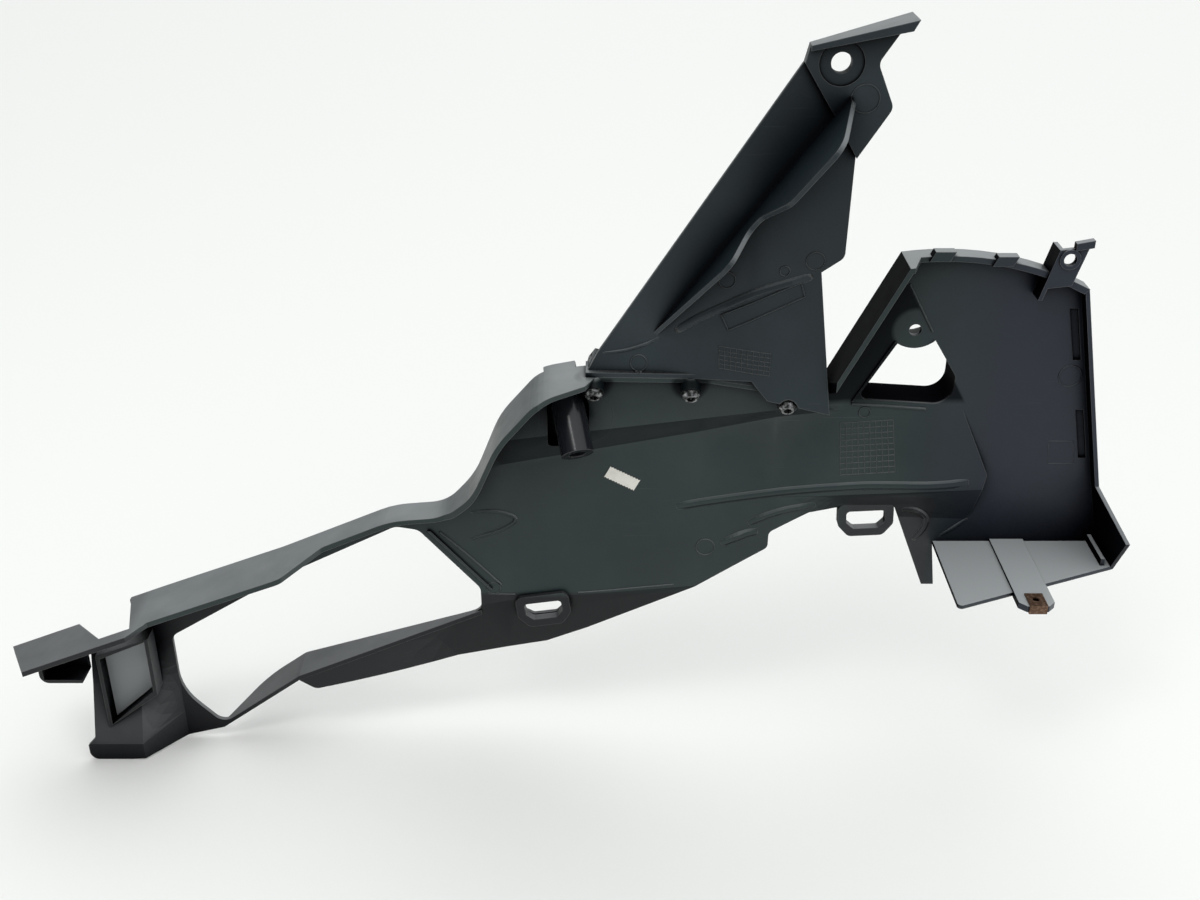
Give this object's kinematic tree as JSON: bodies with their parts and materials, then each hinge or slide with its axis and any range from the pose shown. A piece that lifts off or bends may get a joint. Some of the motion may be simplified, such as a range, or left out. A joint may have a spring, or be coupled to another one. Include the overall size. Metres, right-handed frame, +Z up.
{
  "type": "lower fairing panel",
  "caption": "Moulded plastic lower fairing panel of a motorbike with a large window, a triangular window, a tray and a raking ribbed arm screwed to its top edge.",
  "frame": {"origin": "centre of the small bore in the tab over the triangular window, on the panel's inner face", "axes": "+X towards the square end, +Z up, -Y towards the ribbed inner side that the picture shows"},
  "size_m": [0.7267, 0.1069, 0.5012],
  "materials": {
    "panel_plastic": "matt, worn",
    "arm_plastic": "matt, worn",
    "black_screw": "black coated",
    "spring_steel": "brown, tarnished",
    "patch": "matt"
  },
  "bodies": {
    "root": {"main_panel": "panel_plastic", "upper_arm": "arm_plastic", "arm_screws": "black_screw", "clip_nut": "spring_steel", "tape_patch": "patch"}
  },
  "joints": []
}
